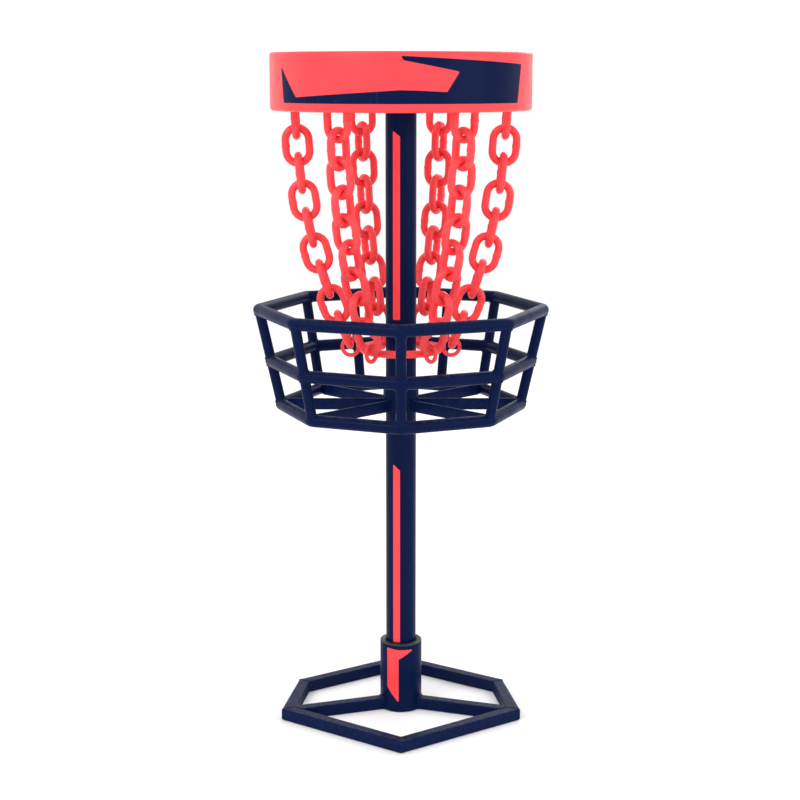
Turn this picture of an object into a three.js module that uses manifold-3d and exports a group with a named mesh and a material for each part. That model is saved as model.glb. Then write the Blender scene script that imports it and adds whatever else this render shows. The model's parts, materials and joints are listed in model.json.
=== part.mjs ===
// Disc golf basket: portable hexagonal foot, pole in a sleeve, octagonal tapered catching basket,
// round top band and six chain strands that hang to a floating ring. Millimetres, +Z up, front is -Y.
import * as THREE from "three";
import { mergeVertices } from "three/addons/utils/BufferGeometryUtils.js";
import Module from "manifold-3d";

const wasm = await Module();
wasm.setup();

// ---------- driving dimensions ----------
const GAP = 0.3;                    // clearance between pieces that touch
const DEG = Math.PI / 180;

const TUBE_OD = 25.4;               // tube of the foot and of the basket hoops
const TUBE_WALL = 2;
const DRAIN_R = 3;

const FOOT_FRONT = 271;             // outer corners of the six-sided foot, from the pole's axis
const FOOT_REAR = 250;
const FOOT_NEAR_X = 252;            // the two corners beside the front one
const FOOT_NEAR_Y = -88;
const FOOT_FAR_X = 226;             // the two corners beside the rear one
const FOOT_FAR_Y = 92;
const BUSH_WALL = 9.7;              // nylon between the pole and the sleeve, with its clearances
const SLEEVE_WALL = 3;
const SLEEVE_TOP = 148;
const SLEEVE_LIFT = 1;              // the sleeve's foot plate clears the ground by this much
const FOOT_PLATE_T = 4;
const BUSH_LENGTH = 40;
const BUSH_FLANGE_T = 3.4;
const BUSH_CHAMFER = 1.4;
const BUSH_FLOOR_T = 8;             // nylon under the pole's lower end
const FOOT_DRAIN_R = 7;

const POLE_OD = 63.5;
const POLE_WALL = 2.5;
const POLE_SPLIT_Z = 722;
const POLE_TOP_Z = 1334;
const JOINER_LENGTH = 160;
const JOINER_WALL = 3;
const CAP_T = 4;
const CAP_PLUG_LENGTH = 20;
const CAP_PLUG_WALL = 2.7;

const RIM_CORNER_R = 296;           // centreline of the basket's rim at its corners
const RIM_Z = 866;
const MID_Z = 759;
const FLOOR_CORNER_R = 252;
const FLOOR_Z = 667;
const STRUT_OD = 21.3;
const STRUT_WALL = 2;
const COLLAR_WALL = 5.25;
const COLLAR_HEIGHT = 50;
const FLOOR_BAR_T = 6;
const FLOOR_BAR_INSET = 0.4;        // the floor's bars stand this far inside the bottom hoop's height

const BAND_R = 266;                 // outside of the top band
const BAND_DROP = 59;               // the band's lower edge below the pole's top
const BAND_HEIGHT = 115;
const BAND_T = 2;
const BAND_ROD_D = 10;
const BAND_ROD_SIDES = 48;
const HUB_WALL = 12.25;
const ARM_HEIGHT = 44;
const ARM_T = 6;
const ARM_WEB = 8;                  // steel left under the arm's hole
const ROD_INSET = 1;                // the band's rods from the band's upper and lower edges
const ARM_HOLE_ROOM = 5;            // the arm's hole is this much larger than the wire, on the radius

const WIRE_D = 16;                  // chain link wire
const LINK_CENTRE_LENGTH = 71.5;    // crown to crown, wire centres
const LINK_CENTRE_WIDTH = 48;
const LINKS = 9;
const LOOSE_AFTER = [0, 4];         // the links whose next one belongs to another piece
const LINK_BITE = 0.8;              // links of one run are welded into each other by this much
const LINK_PLAY = 1.2;              // play between links of different pieces, enough for them to fold
const SEAT_PLAY = 1.7;              // play where a crown hangs through a flat plate's hole
const CHAIN_INSET = 49;             // from the band's outside in to where the chains hang
const CHAIN_TOP_LIFT = 19;          // top crown of a strand above the band's lower edge
const CHAIN_TOP_ANGLE = 3.5;        // degrees from plumb at the top of a strand
const CHAIN_END_R = 106;            // radius where a strand's last crown takes the ring's lug

const RING_ROD_D = 16;
const LUG_HOLE_ROOM = 5.5;          // the lug's hole is this much larger than the wire, on the radius
const LUG_WEB = 8;
const LUG_T = 6;
const LUG_BURY = 4;                 // a lug's round reaches this far into the ring's rod
const ROD_DROP = 4;                 // the ring's rod below the lugs' holes
const NECK_BELOW = 6;               // a lug's neck below and above the rod's centreline
const NECK_ABOVE = 12;

const SCREW_D = 12;
const SCREW_Z = 76;
const NUT_FLATS = 22;
const NUT_T = 13;
const NUT_COPE = 6;                 // the nut's corners reach this far around the sleeve
const PAD_T = 3.6;
const PAD_R = 9;
const BOSS_GAP = 6.5;               // from the nut out to the screw's boss, the screw's travel
const BOSS_LENGTH = 16;
const BOSS_R = 9;
const HANDLE_HALF = 32;
const HANDLE_R = 4.5;

const CLAMP_R = 4;                  // the two small screws that clamp the basket and the top to the pole
const CLAMP_BELOW_TOP = 10;
const CLAMP_HEAD_T = 6;
const CLAMP_HEAD_R = 7.5;
const PAST = 5;                     // a cutting tool runs this far past the faces that it opens

// the six strands stand closer together towards the rear, so that all of them show from the front
const STRANDS = [
  { name: "front_right", azimuth: 35 },
  { name: "right", azimuth: 90 },
  { name: "rear_right", azimuth: 157 },
  { name: "rear_left", azimuth: 203 },
  { name: "left", azimuth: 270 },
  { name: "front_left", azimuth: 325 },
];

const STRUT_SIDES = 8;
const STRUT_HOLE_HALF = 40;         // half the length of the cut that lets a strut through the middle hoop
const STRUTS = [0, 45, 90, 135, 180, 225, 270, 315];
const REAR_STRUTS = [157.5, 202.5]; // two more, in the middles of the sides beside the rear corner

// ---------- derived dimensions ----------
const SLEEVE_OD = POLE_OD + 2 * (BUSH_WALL + SLEEVE_WALL);
const COLLAR_OD = POLE_OD + 2 * COLLAR_WALL;
const HUB_OD = POLE_OD + 2 * HUB_WALL;
const BAND_BOTTOM_Z = POLE_TOP_Z - BAND_DROP;
const CHAIN_TOP_R = BAND_R - CHAIN_INSET;
const CHAIN_TOP_Z = BAND_BOTTOM_Z + CHAIN_TOP_LIFT;
const WIRE_R = WIRE_D / 2;
const WIRE_SIDES = 8;
const ARM_HOLE_R = WIRE_R + ARM_HOLE_ROOM;
const LUG_HOLE_R = WIRE_R + LUG_HOLE_ROOM;
const SLEEVE_R = SLEEVE_OD / 2;
const SLEEVE_BORE_R = SLEEVE_R - SLEEVE_WALL;
const POLE_R = POLE_OD / 2;
const POLE_FIT_R = POLE_R + GAP;
const POLE_BORE_R = POLE_R - POLE_WALL;
const TUBE_R = TUBE_OD / 2;
const OCT = Math.cos(22.5 * DEG);
const PLATE_TOP = SLEEVE_LIFT + FOOT_PLATE_T;
const FOOT_BUSH_FLOOR = PLATE_TOP + GAP + BUSH_FLOOR_T;
const POLE_BOTTOM_Z = FOOT_BUSH_FLOOR + GAP;
const BASKET_SLOPE = (RIM_CORNER_R - FLOOR_CORNER_R) / (RIM_Z - FLOOR_Z);
const ARM_BOTTOM_Z = CHAIN_TOP_Z - WIRE_R - SEAT_PLAY - ARM_WEB;
const FLOOR_BAR_BOTTOM = FLOOR_Z - TUBE_R + FLOOR_BAR_INSET;
const SCREW_HOLE_R = SCREW_D / 2 + GAP;
const PAD_BACK_Y = POLE_FIT_R + PAD_T;
const BAND_ROD_R = BAND_R - BAND_T - GAP - BAND_ROD_D / 2;
const FLOOR_SCREW_Z = FLOOR_BAR_BOTTOM + COLLAR_HEIGHT - CLAMP_BELOW_TOP;
const HUB_SCREW_Z = ARM_BOTTOM_Z + ARM_HEIGHT / 2;
const FOOT_CORNERS = [
  [0, -FOOT_FRONT],
  [FOOT_NEAR_X, FOOT_NEAR_Y],
  [FOOT_FAR_X, FOOT_FAR_Y],
  [0, FOOT_REAR],
  [-FOOT_FAR_X, FOOT_FAR_Y],
  [-FOOT_NEAR_X, FOOT_NEAR_Y],
];
const basketRadius = (z) => FLOOR_CORNER_R + BASKET_SLOPE * (z - FLOOR_Z);

// ---------- materials ----------
const coat = (name, colour, roughness, metalness) => {
  return { name, colour, roughness, metalness };
};
const CORAL = coat("coral_coat", 0xf2545b, 0.42, 0.1);
const NAVY = coat("navy_coat", 0x06203f, 0.42, 0.1);
const STEEL = coat("zinc_steel", 0xb8bcc0, 0.35, 0.9);
const NYLON = coat("black_nylon", 0x15171a, 0.6, 0);

// ---------- solids ----------
function triangleSolid(geometry) {
  const bare = geometry.index ? geometry.toNonIndexed() : geometry.clone();
  bare.deleteAttribute("normal");
  bare.deleteAttribute("uv");
  const welded = mergeVertices(bare, 1e-4);
  const index = welded.index.array;
  const faces = new Map();
  for (let i = 0; i < index.length; i += 3) {
    const [a, b, c] = [index[i], index[i + 1], index[i + 2]];
    if (a === b || b === c || c === a) continue;
    const key = [a, b, c].sort((p, q) => p - q).join(" ");
    if (faces.has(key)) faces.delete(key);
    else faces.set(key, [a, b, c]);
  }
  const positions = welded.attributes.position.array;
  const at = (i) => new THREE.Vector3().fromArray(positions, 3 * i);
  let volume = 0;
  for (const [a, b, c] of faces.values()) volume += at(a).dot(at(b).cross(at(c)));
  const kept = [...faces.values()].flatMap(([a, b, c]) => (volume < 0 ? [a, c, b] : [a, b, c]));
  const mesh = new wasm.Mesh({
    numProp: 3,
    vertProperties: Float32Array.from(positions),
    triVerts: Uint32Array.from(kept),
  });
  return new wasm.Manifold(mesh);
}

function solidGeometry(solid) {
  const mesh = solid.getMesh();
  const geometry = new THREE.BufferGeometry();
  const positions = Float32Array.from(mesh.vertProperties);
  geometry.setAttribute("position", new THREE.BufferAttribute(positions, 3));
  geometry.setIndex([...mesh.triVerts]);
  geometry.computeVertexNormals();
  return geometry;
}

function unite(solids) {
  return solids.reduce((whole, solid) => whole.add(solid));
}

function cut(solid, tools) {
  return tools.reduce((rest, tool) => rest.subtract(tool), solid);
}

function box(x0, x1, y0, y1, z0, z1) {
  const geometry = new THREE.BoxGeometry(x1 - x0, y1 - y0, z1 - z0);
  geometry.translate((x0 + x1) / 2, (y0 + y1) / 2, (z0 + z1) / 2);
  return triangleSolid(geometry);
}

// a straight round bar from one point to another
function bar(from, to, radius, sides = 24) {
  const axis = to.clone().sub(from);
  const geometry = new THREE.CylinderGeometry(radius, radius, axis.length(), sides);
  const up = new THREE.Vector3(0, 1, 0);
  geometry.applyQuaternion(new THREE.Quaternion().setFromUnitVectors(up, axis.clone().normalize()));
  const middle = from.clone().add(to).multiplyScalar(0.5);
  geometry.translate(middle.x, middle.y, middle.z);
  return triangleSolid(geometry);
}

function upright(radius, z0, z1, sides = 36) {
  return bar(new THREE.Vector3(0, 0, z0), new THREE.Vector3(0, 0, z1), radius, sides);
}

// a round bar that runs straight back from the pole's axis, between two distances behind it
function rearBar(from, to, z, radius, sides = 24) {
  return bar(new THREE.Vector3(0, from, z), new THREE.Vector3(0, to, z), radius, sides);
}

function pipe(outer, inner, z0, z1, sides = 36) {
  return upright(outer, z0, z1, sides).subtract(upright(inner, z0 - 1, z1 + 1, sides));
}

// a closed [radius, height] profile swept around the pole's axis, first corner facing the front
function swept(profile, sides) {
  const points = [...profile, profile[0]].map(([r, z]) => new THREE.Vector2(r, z));
  const geometry = new THREE.LatheGeometry(points, sides);
  geometry.rotateX(90 * DEG);
  return triangleSolid(geometry);
}

function roundProfile(radius, z, thickness, stretch, points) {
  const profile = [];
  for (let i = 0; i < points; i += 1) {
    const angle = (2 * Math.PI * i) / points;
    profile.push([radius + thickness * stretch * Math.cos(angle), z + thickness * Math.sin(angle)]);
  }
  return profile;
}

// the same corners with every side moved inwards by a distance
function insetCorners(corners, distance) {
  const count = corners.length;
  return corners.map(([x, y], i) => {
    const [px, py] = corners[(i + count - 1) % count];
    const [nx, ny] = corners[(i + 1) % count];
    const before = new THREE.Vector2(x - px, y - py).normalize();
    const after = new THREE.Vector2(nx - x, ny - y).normalize();
    const half = before.clone().sub(after).normalize();
    const inward = distance / Math.abs(half.cross(before));
    return [x - half.x * inward, y - half.y * inward];
  });
}

// an upright prism over flat corners
function prism(corners, z0, z1) {
  const shape = new THREE.Shape(corners.map(([x, y]) => new THREE.Vector2(x, y)));
  const geometry = new THREE.ExtrudeGeometry(shape, { depth: z1 - z0, bevelEnabled: false });
  geometry.translate(0, 0, z0);
  return triangleSolid(geometry);
}

// the foot's closed loop of square tube, with its sides moved in by an amount all round
function footLoop(inset) {
  const outer = prism(insetCorners(FOOT_CORNERS, inset), inset, TUBE_OD - inset);
  return outer.subtract(prism(insetCorners(FOOT_CORNERS, TUBE_OD - inset), -1, TUBE_OD + 1));
}

// a point at a radius and height on the front side; a station group turns it to its azimuth
const front = (radius, z, across = 0) => new THREE.Vector3(across, -radius, z);

function part(name, solid, finish, origin = new THREE.Vector3()) {
  const geometry = solidGeometry(solid);
  geometry.translate(-origin.x, -origin.y, -origin.z);
  const material = new THREE.MeshStandardMaterial({
    name: finish.name,
    color: finish.colour,
    roughness: finish.roughness,
    metalness: finish.metalness,
  });
  const mesh = new THREE.Mesh(geometry, material);
  mesh.name = name;
  mesh.position.copy(origin);
  return mesh;
}

function station(name, azimuth, meshes) {
  const group = new THREE.Group();
  group.name = name;
  group.rotation.z = azimuth * DEG;
  group.add(...meshes);
  return group;
}

function assembly(name, children) {
  const group = new THREE.Group();
  group.name = name;
  group.add(...children);
  return group;
}

// ---------- foot ----------
function baseRing() {
  const middle = insetCorners(FOOT_CORNERS, TUBE_R);
  const drains = middle.map(([x, y], i) => {
    const [nx, ny] = middle[(i + 1) % middle.length];
    return upright(DRAIN_R, -1, TUBE_WALL + 1, 12).translate([(x + nx) / 2, (y + ny) / 2, 0]);
  });
  return cut(footLoop(0), [footLoop(TUBE_WALL), ...drains]);
}

// a spoke that runs out from the sleeve into one corner of the foot
function baseSpoke(azimuth) {
  const reach = 2 * FOOT_FRONT;
  const tube = box(-TUBE_R, TUBE_R, -reach, -SLEEVE_R / 2, 0, TUBE_OD);
  const bore = TUBE_R - TUBE_WALL;
  const hollow = box(-bore, bore, -reach - 1, 0, TUBE_WALL, TUBE_OD - TUBE_WALL);
  const inside = prism(insetCorners(FOOT_CORNERS, TUBE_OD + GAP), -1, TUBE_OD + 1);
  const spoke = tube.subtract(hollow).intersect(inside.rotate([0, 0, -azimuth]));
  return spoke.subtract(upright(SLEEVE_R + GAP, -1, TUBE_OD + 1));
}

function baseSleeve() {
  const wall = pipe(SLEEVE_R, SLEEVE_BORE_R, SLEEVE_LIFT, SLEEVE_TOP);
  const plate = upright(SLEEVE_R, SLEEVE_LIFT, PLATE_TOP);
  const drain = upright(FOOT_DRAIN_R, -1, PLATE_TOP + 1, 16);
  const hole = rearBar(SLEEVE_BORE_R - PAST, SLEEVE_R + PAST, SCREW_Z, SCREW_HOLE_R);
  return cut(wall.add(plate), [drain, hole]);
}

function sleeveBushTop() {
  const body = upright(SLEEVE_BORE_R - GAP, SLEEVE_TOP - BUSH_LENGTH, SLEEVE_TOP + 1);
  const z = SLEEVE_TOP + GAP;
  const flange = swept([
    [0, z],
    [SLEEVE_R, z],
    [SLEEVE_R, z + BUSH_FLANGE_T - BUSH_CHAMFER],
    [SLEEVE_R - BUSH_CHAMFER, z + BUSH_FLANGE_T],
    [0, z + BUSH_FLANGE_T],
  ], 36);
  return body.add(flange).subtract(upright(POLE_FIT_R, 0, z + BUSH_FLANGE_T + 1));
}

function turnBush() {
  const cup = upright(SLEEVE_BORE_R - GAP, PLATE_TOP + GAP, PLATE_TOP + GAP + BUSH_LENGTH);
  const pocket = upright(POLE_FIT_R, FOOT_BUSH_FLOOR, SLEEVE_TOP);
  return cut(cup, [pocket, upright(FOOT_DRAIN_R, 0, FOOT_BUSH_FLOOR + 1, 16)]);
}

function lockNut() {
  const across = NUT_FLATS / 2 / Math.cos(30 * DEG);
  const block = rearBar(SLEEVE_R - NUT_COPE, SLEEVE_R + NUT_T, SCREW_Z, across, 6);
  const hole = rearBar(0, SLEEVE_R + NUT_T + 1, SCREW_Z, SCREW_HOLE_R);
  return cut(block, [upright(SLEEVE_R + GAP, 0, SLEEVE_TOP), hole]);
}

function lockPad() {
  const block = rearBar(POLE_R - PAST, PAD_BACK_Y, SCREW_Z, PAD_R);
  return block.subtract(upright(POLE_FIT_R, 0, SLEEVE_TOP));
}

function lockScrew() {
  const collar = SLEEVE_R + NUT_T + BOSS_GAP;
  const middle = collar + BOSS_LENGTH / 2;
  const shank = rearBar(PAD_BACK_Y + GAP, middle, SCREW_Z, SCREW_D / 2);
  const boss = rearBar(collar, collar + BOSS_LENGTH, SCREW_Z, BOSS_R);
  const left = new THREE.Vector3(-HANDLE_HALF, middle, SCREW_Z);
  const right = new THREE.Vector3(HANDLE_HALF, middle, SCREW_Z);
  return unite([shank, boss, bar(left, right, HANDLE_R, 16)]);
}

// ---------- pole ----------
function poleCap() {
  const disc = upright(POLE_R, POLE_TOP_Z + GAP, POLE_TOP_Z + GAP + CAP_T);
  const plugR = POLE_BORE_R - GAP;
  const plug = pipe(plugR, plugR - CAP_PLUG_WALL, POLE_TOP_Z - CAP_PLUG_LENGTH, POLE_TOP_Z + 1);
  return disc.add(plug);
}

// ---------- basket ----------
function octagonHoop(z) {
  const radius = basketRadius(z);
  return swept(roundProfile(radius, z, TUBE_R, 1 / OCT, 12), 8);
}

function hoopBore(z) {
  return swept(roundProfile(basketRadius(z), z, TUBE_R - TUBE_WALL, 1 / OCT, 6), 8);
}

function hollowHoop(z) {
  const radius = basketRadius(z);
  const drain = bar(front(radius * OCT, z - TUBE_OD), front(radius * OCT, z), DRAIN_R, 8);
  const drains = [67.5, 157.5, 247.5, 337.5].map((azimuth) => drain.rotate([0, 0, azimuth]));
  return cut(octagonHoop(z), [hoopBore(z), ...drains]);
}

// the line a strut follows down the basket's side, at a corner or in the middle of a side
function strutLine(z, reach) {
  return front(basketRadius(z) * reach, z);
}

function strutHole(azimuth, reach) {
  const low = strutLine(MID_Z - STRUT_HOLE_HALF, reach);
  const high = strutLine(MID_Z + STRUT_HOLE_HALF, reach);
  return bar(low, high, STRUT_OD / 2 + GAP, STRUT_SIDES).rotate([0, 0, azimuth]);
}

function midHoop() {
  const corners = STRUTS.map((azimuth) => strutHole(azimuth, 1));
  const sides = REAR_STRUTS.map((azimuth) => strutHole(azimuth, OCT));
  return cut(octagonHoop(MID_Z), [hoopBore(MID_Z), ...corners, ...sides]);
}

function strut(reach, turn) {
  const low = strutLine(FLOOR_Z, reach);
  const high = strutLine(RIM_Z, reach);
  const beyond = high.clone().sub(low).multiplyScalar(0.1);
  const bottom = low.clone().sub(beyond);
  const top = high.clone().add(beyond);
  const tube = bar(low, high, STRUT_OD / 2, STRUT_SIDES);
  const bore = bar(bottom, top, STRUT_OD / 2 - STRUT_WALL, 6);
  const copes = [FLOOR_Z, RIM_Z].map((z) => {
    const profile = roundProfile(basketRadius(z), z, TUBE_R + GAP, 1 / OCT, 12);
    return swept(profile, 8).rotate([0, 0, turn]);
  });
  return cut(tube, [bore, ...copes]).decompose().sort((p, q) => q.volume() - p.volume())[0];
}

function spider() {
  const bottom = FLOOR_BAR_BOTTOM;
  const top = FLOOR_Z + TUBE_R - FLOOR_BAR_INSET;
  const half = FLOOR_BAR_T / 2;
  const reach = FLOOR_CORNER_R - TUBE_R / OCT - GAP - half * Math.tan(22.5 * DEG);
  const bars = STRUTS.map((azimuth) => {
    return box(-half, half, -reach, -POLE_FIT_R - 2, bottom, top).rotate([0, 0, azimuth]);
  });
  const collar = upright(COLLAR_OD / 2, bottom, bottom + COLLAR_HEIGHT);
  const bore = upright(POLE_FIT_R, bottom - 1, bottom + COLLAR_HEIGHT + 1);
  const tapped = rearBar(0, COLLAR_OD / 2 + PAST, FLOOR_SCREW_Z, CLAMP_R + GAP, 16);
  return cut(unite([collar, ...bars]), [bore, tapped]);
}

// a hexagon-headed clamp screw behind the pole, through a collar of the given radius
function clampScrew(z, collarRadius) {
  const seat = collarRadius + GAP;
  const shank = rearBar(POLE_FIT_R, seat + CLAMP_HEAD_T / 2, z, CLAMP_R, 16);
  return shank.add(rearBar(seat, seat + CLAMP_HEAD_T, z, CLAMP_HEAD_R, 6));
}

// ---------- top ----------
function topHub() {
  const body = upright(HUB_OD / 2, ARM_BOTTOM_Z, ARM_BOTTOM_Z + ARM_HEIGHT);
  const bore = upright(POLE_FIT_R, ARM_BOTTOM_Z - 1, ARM_BOTTOM_Z + ARM_HEIGHT + 1);
  return cut(body, [bore, rearBar(0, HUB_OD / 2 + PAST, HUB_SCREW_Z, CLAMP_R + GAP, 16)]);
}

function arm() {
  const half = ARM_T / 2;
  const outer = (BAND_ROD_R - BAND_ROD_D / 2) * Math.cos(Math.PI / BAND_ROD_SIDES) - GAP;
  const blade = box(-half, half, -outer, -HUB_OD / 2 - GAP, ARM_BOTTOM_Z, ARM_BOTTOM_Z + ARM_HEIGHT);
  const holeZ = CHAIN_TOP_Z - WIRE_R - SEAT_PLAY + ARM_HOLE_R;
  const hole = bar(front(CHAIN_TOP_R, holeZ, -ARM_T), front(CHAIN_TOP_R, holeZ, ARM_T), ARM_HOLE_R, 18);
  return blade.subtract(hole);
}

function band() {
  const top = BAND_BOTTOM_Z + BAND_HEIGHT;
  const inner = BAND_R - BAND_T;
  return swept([[inner, BAND_BOTTOM_Z], [BAND_R, BAND_BOTTOM_Z], [BAND_R, top], [inner, top]], 72);
}

function bandRod(z) {
  return swept(roundProfile(BAND_ROD_R, z, BAND_ROD_D / 2, 1, 6), BAND_ROD_SIDES);
}

// ---------- chains ----------
const smooth = (t) => t * t * (3 - 2 * t);

// the nine links of a strand: where each hangs in the plane of its radius, and how steeply
function hang(endAngle) {
  const angle = (k) => (CHAIN_TOP_ANGLE + (endAngle - CHAIN_TOP_ANGLE) * smooth(k / (LINKS - 1))) * DEG;
  const down = (a) => ({ r: -Math.sin(a), z: -Math.cos(a) });
  const links = [];
  let r = CHAIN_TOP_R;
  let z = CHAIN_TOP_Z;
  for (let k = 0; k < LINKS; k += 1) {
    const way = down(angle(k));
    const end = { r: r + way.r * LINK_CENTRE_LENGTH, z: z + way.z * LINK_CENTRE_LENGTH };
    links.push({ top: { r, z }, end, angle: angle(k) });
    const step = LOOSE_AFTER.includes(k) ? WIRE_D + LINK_PLAY : WIRE_D - LINK_BITE;
    const between = down((angle(k) + angle(Math.min(k + 1, LINKS - 1))) / 2);
    r = end.r - between.r * step;
    z = end.z - between.z * step;
  }
  return links;
}

function hangToRadius(endRadius) {
  let low = CHAIN_TOP_ANGLE;
  let high = 85;
  for (let i = 0; i < 60; i += 1) {
    const middle = (low + high) / 2;
    if (hang(middle)[LINKS - 1].end.r > endRadius) low = middle;
    else high = middle;
  }
  return hang((low + high) / 2);
}

const HANGING = hangToRadius(CHAIN_END_R);
const STRAND_END = HANGING[LINKS - 1].end;
const STRAND_END_ANGLE = HANGING[LINKS - 1].angle;

// centreline of a link: two half circles joined by two straight legs
class LinkPath extends THREE.Curve {
  constructor(middle, along, across, arcSteps) {
    super();
    this.middle = middle;
    this.along = along;
    this.across = across;
    this.arcSteps = arcSteps;
    this.steps = 2 * arcSteps + 2;
  }

  sample(t) {
    const step = Math.round(t * this.steps) % this.steps;
    const upper = step <= this.arcSteps;
    const turn = upper ? step / this.arcSteps : 1 + (step - this.arcSteps - 1) / this.arcSteps;
    return { angle: Math.PI * turn, side: upper ? 1 : -1 };
  }

  getPoint(t) {
    const { angle, side } = this.sample(t);
    const radius = LINK_CENTRE_WIDTH / 2;
    const leg = LINK_CENTRE_LENGTH / 2 - radius;
    const point = this.middle.clone();
    point.addScaledVector(this.across, radius * Math.cos(angle));
    return point.addScaledVector(this.along, radius * Math.sin(angle) + side * leg);
  }

  getPointAt(t) {
    return this.getPoint(t);
  }

  getTangentAt(t) {
    const { angle } = this.sample(t);
    const tangent = this.across.clone().multiplyScalar(-Math.sin(angle));
    return tangent.addScaledVector(this.along, Math.cos(angle));
  }
}

function link(k) {
  const { top, end, angle } = HANGING[k];
  const middle = front((top.r + end.r) / 2, (top.z + end.z) / 2);
  const along = new THREE.Vector3(0, -Math.sin(angle), Math.cos(angle));
  const tangential = new THREE.Vector3(1, 0, 0);
  const radial = new THREE.Vector3(0, -Math.cos(angle), -Math.sin(angle));
  const path = new LinkPath(middle, along, k % 2 === 0 ? tangential : radial, 4);
  const round = new THREE.Shape();
  for (let i = 0; i < WIRE_SIDES; i += 1) {
    const turn = (2 * Math.PI * i) / WIRE_SIDES;
    const [x, y] = [WIRE_R * Math.cos(turn), WIRE_R * Math.sin(turn)];
    if (i === 0) round.moveTo(x, y);
    else round.lineTo(x, y);
  }
  round.closePath();
  const options = { steps: path.steps, extrudePath: path, curveSegments: 1 };
  return triangleSolid(new THREE.ExtrudeGeometry(round, options));
}

function run(first, last) {
  const links = [];
  for (let k = first; k <= last; k += 1) links.push(link(k));
  return unite(links);
}

const [HOOK_END, UPPER_END] = LOOSE_AFTER;
const HOOK_LINK = run(0, HOOK_END);
const UPPER_RUN = run(HOOK_END + 1, UPPER_END);
const LOWER_RUN = run(UPPER_END + 1, LINKS - 1);

function strand({ name, azimuth }) {
  const upperPivot = front(HANGING[HOOK_END].end.r, HANGING[HOOK_END].end.z);
  const lowerPivot = front(HANGING[UPPER_END].end.r, HANGING[UPPER_END].end.z);
  return station(`${name}_chain`, azimuth, [
    part(`${name}_hook_link`, HOOK_LINK, CORAL, front(CHAIN_TOP_R, CHAIN_TOP_Z)),
    part(`${name}_upper_run`, UPPER_RUN, CORAL, upperPivot),
    part(`${name}_lower_run`, LOWER_RUN, CORAL, lowerPivot),
  ]);
}

// a rod ring with six upright lugs outside it, each holed for the last link of a strand
function chainRing() {
  const drop = LUG_HOLE_R - WIRE_R - SEAT_PLAY;
  const holeR = STRAND_END.r - drop * Math.sin(STRAND_END_ANGLE);
  const holeZ = STRAND_END.z - drop * Math.cos(STRAND_END_ANGLE);
  const eye = LUG_HOLE_R + LUG_WEB;
  const rodR = holeR - eye - RING_ROD_D / 2 + LUG_BURY;
  const rodZ = holeZ - ROD_DROP;
  const half = LUG_T / 2;
  const ring = swept(roundProfile(rodR, rodZ, RING_ROD_D / 2, 1, 8), 36);
  const lugs = STRANDS.map(({ azimuth }) => {
    const disc = bar(front(holeR, holeZ, -half), front(holeR, holeZ, half), eye, 20);
    const neck = box(-half, half, -holeR, -rodR, rodZ - NECK_BELOW, rodZ + NECK_ABOVE);
    const hole = bar(front(holeR, holeZ, -LUG_T), front(holeR, holeZ, LUG_T), LUG_HOLE_R, 16);
    return disc.add(neck).subtract(hole).rotate([0, 0, azimuth]);
  });
  return unite([ring, ...lugs]);
}

// ---------- the whole basket ----------
function foot() {
  const nearTurn = Math.atan2(FOOT_NEAR_X, -FOOT_NEAR_Y) / DEG;
  return assembly("foot", [
    part("base_ring", baseRing(), NAVY),
    station("spoke_right", nearTurn, [part("base_spoke_right", baseSpoke(nearTurn), NAVY)]),
    station("spoke_rear", 180, [part("base_spoke_rear", baseSpoke(180), NAVY)]),
    station("spoke_left", -nearTurn, [part("base_spoke_left", baseSpoke(-nearTurn), NAVY)]),
    part("base_sleeve", baseSleeve(), NAVY),
    part("sleeve_bush_top", sleeveBushTop(), NYLON, new THREE.Vector3(0, 0, SLEEVE_TOP)),
    part("turn_bush", turnBush(), NYLON, new THREE.Vector3(0, 0, PLATE_TOP)),
    part("lock_nut", lockNut(), NAVY, new THREE.Vector3(0, SLEEVE_R, SCREW_Z)),
    part("lock_pad", lockPad(), NYLON, new THREE.Vector3(0, PAD_BACK_Y, SCREW_Z)),
    part("lock_screw", lockScrew(), STEEL, new THREE.Vector3(0, PAD_BACK_Y, SCREW_Z)),
  ]);
}

function pole() {
  const lower = pipe(POLE_R, POLE_BORE_R, POLE_BOTTOM_Z, POLE_SPLIT_Z);
  const upper = pipe(POLE_R, POLE_BORE_R, POLE_SPLIT_Z + GAP, POLE_TOP_Z);
  const joinerR = POLE_BORE_R - GAP;
  const z0 = POLE_SPLIT_Z - JOINER_LENGTH / 2;
  const joiner = pipe(joinerR, joinerR - JOINER_WALL, z0, z0 + JOINER_LENGTH);
  return assembly("pole", [
    part("pole_lower", lower, NAVY),
    part("pole_upper", upper, NAVY, new THREE.Vector3(0, 0, POLE_SPLIT_Z)),
    part("pole_joiner", joiner, STEEL, new THREE.Vector3(0, 0, POLE_SPLIT_Z)),
    part("pole_cap", poleCap(), NYLON, new THREE.Vector3(0, 0, POLE_TOP_Z)),
  ]);
}

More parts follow.
